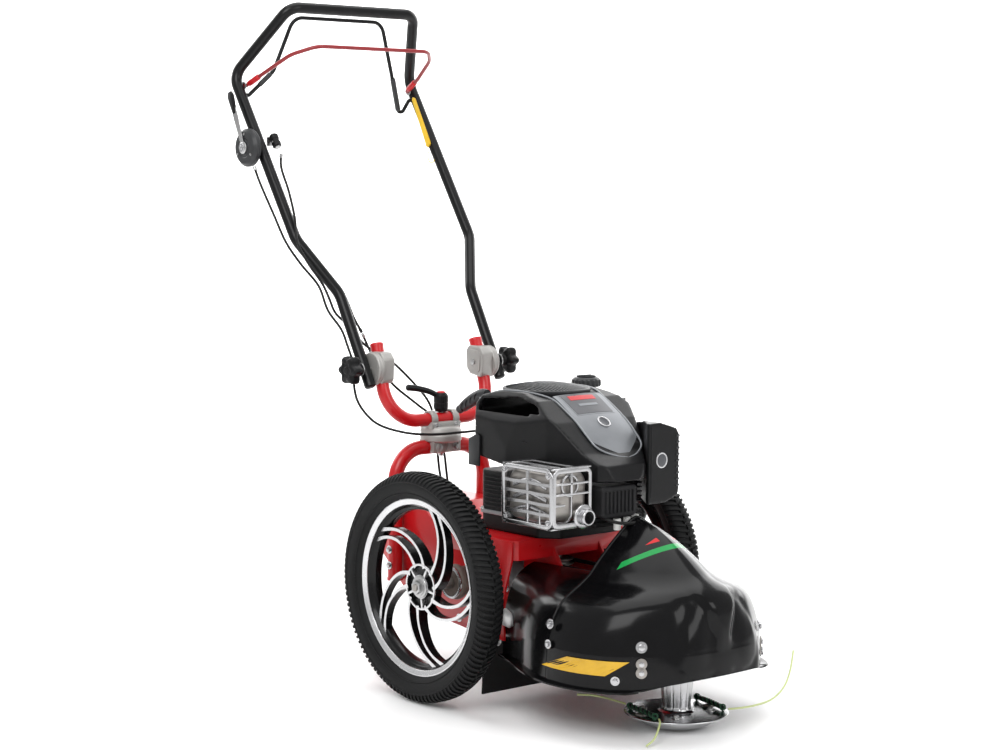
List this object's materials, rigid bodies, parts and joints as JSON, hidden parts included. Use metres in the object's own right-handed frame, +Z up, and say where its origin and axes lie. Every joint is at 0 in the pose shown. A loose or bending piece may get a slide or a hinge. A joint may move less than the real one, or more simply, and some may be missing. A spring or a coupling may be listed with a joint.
{
  "type": "wheeled string trimmer",
  "caption": "Walk-behind wheeled string trimmer: petrol engine on a two-wheel chassis, belt-driven line head under a front hood, folding and swivelling loop handle with control bails.",
  "frame": {"origin": "on the ground, under the middle of the machine's width and length (the three free trimmer lines not counted)", "axes": "+Z up, -Y is the direction of travel with the line head in front, +X is the operator's left, parallel to the wheel axle"},
  "size_m": [0.53, 1.137, 1.2658],
  "materials": {
    "red_paint": "gloss",
    "black_paint": "satin",
    "hood_black": "gloss",
    "zinc": "satin",
    "steel": "satin",
    "cast_alloy": "matt cast",
    "engine_alloy": "matt cast",
    "rim_black_silver": "gloss with machined silver edges",
    "tyre": "matt",
    "black_rubber": "matt",
    "black_plastic": "satin",
    "grey_plastic": "satin",
    "silver_plastic": "satin metallic",
    "green_line": "twisted bundle",
    "line_nylon": "translucent",
    "yellow_strap": "satin",
    "red_wire": "satin"
  },
  "bodies": {
    "chassis": {"chassis_frame": "red_paint", "frame_arch_tube": "red_paint", "gearbox_housing": "engine_alloy", "axle_bearing_right": "steel", "axle_bearing_left": "steel", "head_belt": "black_rubber", "drive_belt": "black_rubber", "spindle_housing": "engine_alloy", "deck_hood": "hood_black", "hood_bracket_right": "zinc", "hood_bracket_left": "zinc", "mud_flap": "black_rubber", "engine_block": "engine_alloy", "engine_shroud": "black_plastic", "cooling_grille": "grey_plastic", "badge_panel": "silver_plastic", "fuel_tank": "black_plastic", "air_filter_cover": "black_plastic", "muffler": "steel", "muffler_guard": "zinc", "swivel_base_casting": "cast_alloy"},
    "axle": {"axle_shaft": "steel", "wheel_nut_right": "zinc", "wheel_nut_left": "zinc"},
    "wheel_right": {"tyre_right": "tyre", "rim_right": "rim_black_silver"},
    "wheel_left": {"tyre_left": "tyre", "rim_left": "rim_black_silver"},
    "crank": {"crankshaft_pulley": "steel"},
    "gearbox_input": {"gearbox_pulley": "steel"},
    "cutter": {"spindle_shaft": "steel", "head_plate": "steel", "glide_cup": "zinc", "line_bundle_right": "green_line", "line_bundle_left": "green_line", "trimmer_line_1": "line_nylon", "trimmer_line_2": "line_nylon", "trimmer_line_3": "line_nylon"},
    "fuel_cap": {"fuel_cap": "grey_plastic"},
    "starter": {"starter_grip": "grey_plastic"},
    "yoke": {"handle_yoke": "red_paint", "swivel_top_casting": "cast_alloy", "joint_casting_right": "cast_alloy", "joint_casting_left": "cast_alloy", "throttle_cable_lower": "black_rubber", "drive_cable_lower": "black_rubber", "brake_cable_lower": "black_rubber"},
    "clamp": {"clamp_lever": "black_plastic"},
    "knob_right": {"pivot_knob_right": "black_plastic"},
    "knob_left": {"pivot_knob_left": "black_plastic"},
    "handle": {"handlebar": "black_paint", "throttle_housing": "black_plastic", "cable_bracket": "zinc", "throttle_cable_upper": "black_rubber", "drive_cable_upper": "black_rubber", "brake_cable_upper": "black_rubber"},
    "drive_bail": {"drive_bail": "red_wire"},
    "brake_bail": {"brake_bail": "black_paint"},
    "latch": {"latch_lever": "yellow_strap"},
    "throttle": {"throttle_lever": "zinc"}
  },
  "joints": [
    {"name": "axle_spin", "type": "hinge", "parent": "chassis", "child": "axle", "pos_m": [0, -0.05916, 0.206], "axis": [1, 0, 0], "continuous": true},
    {"name": "wheel_right_spin", "type": "hinge", "parent": "chassis", "child": "wheel_right", "pos_m": [0, -0.05916, 0.206], "axis": [1, 0, 0], "continuous": true},
    {"name": "wheel_left_spin", "type": "hinge", "parent": "chassis", "child": "wheel_left", "pos_m": [0, -0.05916, 0.206], "axis": [1, 0, 0], "continuous": true},
    {"name": "crank_spin", "type": "hinge", "parent": "chassis", "child": "crank", "pos_m": [0, -0.14916, 0.24], "axis": [0, 0, 1], "continuous": true},
    {"name": "cutter_spin", "type": "hinge", "parent": "chassis", "child": "cutter", "pos_m": [0, -0.46316, 0.022], "axis": [0, 0, 1], "continuous": true, "deforming": ["trimmer_line_1", "trimmer_line_2", "trimmer_line_3"]},
    {"name": "gearbox_input_spin", "type": "hinge", "parent": "chassis", "child": "gearbox_input", "pos_m": [0, -0.02116, 0.262], "axis": [0, 0, 1], "continuous": true},
    {"name": "fuel_cap_turn", "type": "hinge", "parent": "chassis", "child": "fuel_cap", "pos_m": [0.134, -0.08116, 0.543], "axis": [0, 0, 1], "range_deg": [0, 120]},
    {"name": "starter_pull", "type": "slide", "parent": "chassis", "child": "starter", "axis": [0, 0.7526, 0.6585], "range_m": [0, 0.15], "stiffness_N_per_m": 40, "springref_m": -0.12},
    {"name": "handle_swivel", "type": "hinge", "parent": "chassis", "child": "yoke", "pos_m": [0, 0.18384, 0.441], "axis": [0, 0, 1], "range_deg": [-25, 25], "deforming": ["throttle_cable_lower", "drive_cable_lower", "brake_cable_lower"]},
    {"name": "clamp_lever_turn", "type": "hinge", "parent": "yoke", "child": "clamp", "pos_m": [0, 0.18384, 0.49], "axis": [0, 0, 1], "range_deg": [0, 80]},
    {"name": "handle_fold", "type": "hinge", "parent": "yoke", "child": "handle", "pos_m": [0, 0.21384, 0.569], "axis": [1, 0, 0], "range_deg": [-20, 100], "deforming": ["throttle_cable_upper", "drive_cable_upper", "brake_cable_upper"]},
    {"name": "pivot_knob_right_turn", "type": "hinge", "parent": "yoke", "child": "knob_right", "pos_m": [-0.15, 0.21384, 0.569], "axis": [1, 0, 0], "range_deg": [0, 720]},
    {"name": "pivot_knob_left_turn", "type": "hinge", "parent": "yoke", "child": "knob_left", "pos_m": [0.15, 0.21384, 0.569], "axis": [1, 0, 0], "range_deg": [0, 720]},
    {"name": "drive_bail_squeeze", "type": "hinge", "parent": "handle", "child": "drive_bail", "pos_m": [0, 0.55084, 1.104], "axis": [-1, 0, 0], "range_deg": [0, 26], "stiffness_Nm_per_rad": 2, "springref_deg": -34.38},
    {"name": "brake_bail_squeeze", "type": "hinge", "parent": "handle", "child": "brake_bail", "pos_m": [0, 0.54184, 1.086], "axis": [1, 0, 0], "range_deg": [0, 15], "stiffness_Nm_per_rad": 1.5, "springref_deg": -34.38},
    {"name": "latch_press", "type": "hinge", "parent": "handle", "child": "latch", "pos_m": [0, 0.48184, 0.996], "axis": [1, 0, 0], "range_deg": [0, 20], "stiffness_Nm_per_rad": 0.5, "springref_deg": -28.65},
    {"name": "throttle_turn", "type": "hinge", "parent": "handle", "child": "throttle", "pos_m": [-0.23, 0.48584, 0.983], "axis": [1, 0, 0], "range_deg": [0, 50]}
  ],
  "couplings": [
    {"joint": "cutter_spin", "follows": "crank_spin", "ratio": 0.76471},
    {"joint": "gearbox_input_spin", "follows": "crank_spin", "ratio": 0.4}
  ]
}
